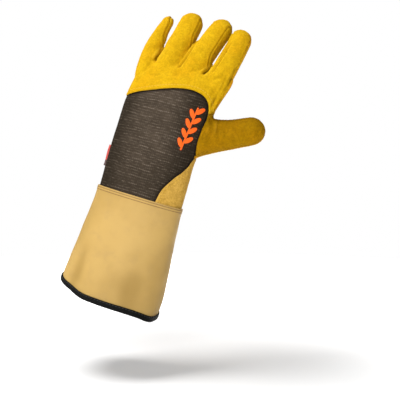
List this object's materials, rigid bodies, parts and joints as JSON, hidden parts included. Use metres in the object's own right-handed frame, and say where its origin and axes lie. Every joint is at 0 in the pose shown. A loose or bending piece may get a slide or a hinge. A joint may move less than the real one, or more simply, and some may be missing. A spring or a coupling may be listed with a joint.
{
  "type": "rose pruning gauntlet",
  "caption": "Left-hand leather gauntlet with a long flared cuff that covers the forearm, a suede palm and fingers and a woven panel on the back, for working among thorns.",
  "frame": {"origin": "middle of the cuff's mouth, where the hand goes in", "axes": "+Z along the forearm towards the fingertips, +X towards the thumb's side, -Y out of the back of the hand"},
  "size_m": [0.1934, 0.0883, 0.3764],
  "materials": {
    "suede": "napped mustard yellow suede",
    "woven_back": "charcoal brown woven cloth",
    "smooth_leather": "smooth tan grain leather",
    "binding_tape": "black tape with a slight sheen",
    "label_cloth": "woven tab, red above and black below, with no text",
    "sprig_print": "matt orange raised print"
  },
  "bodies": {
    "root": {"palm": "suede", "ring_front": "suede", "middle_front": "suede", "back_knuckles": "suede", "thumb_back": "suede", "thumb_strip": "suede", "fourchette_pinky_ring": "suede", "fourchette_ring_middle": "suede", "fourchette_middle_index": "suede", "back_panel": "woven_back", "cuff": "smooth_leather", "cuff_binding": "binding_tape", "side_label": "label_cloth", "panel_sprig": "sprig_print"}
  },
  "joints": []
}
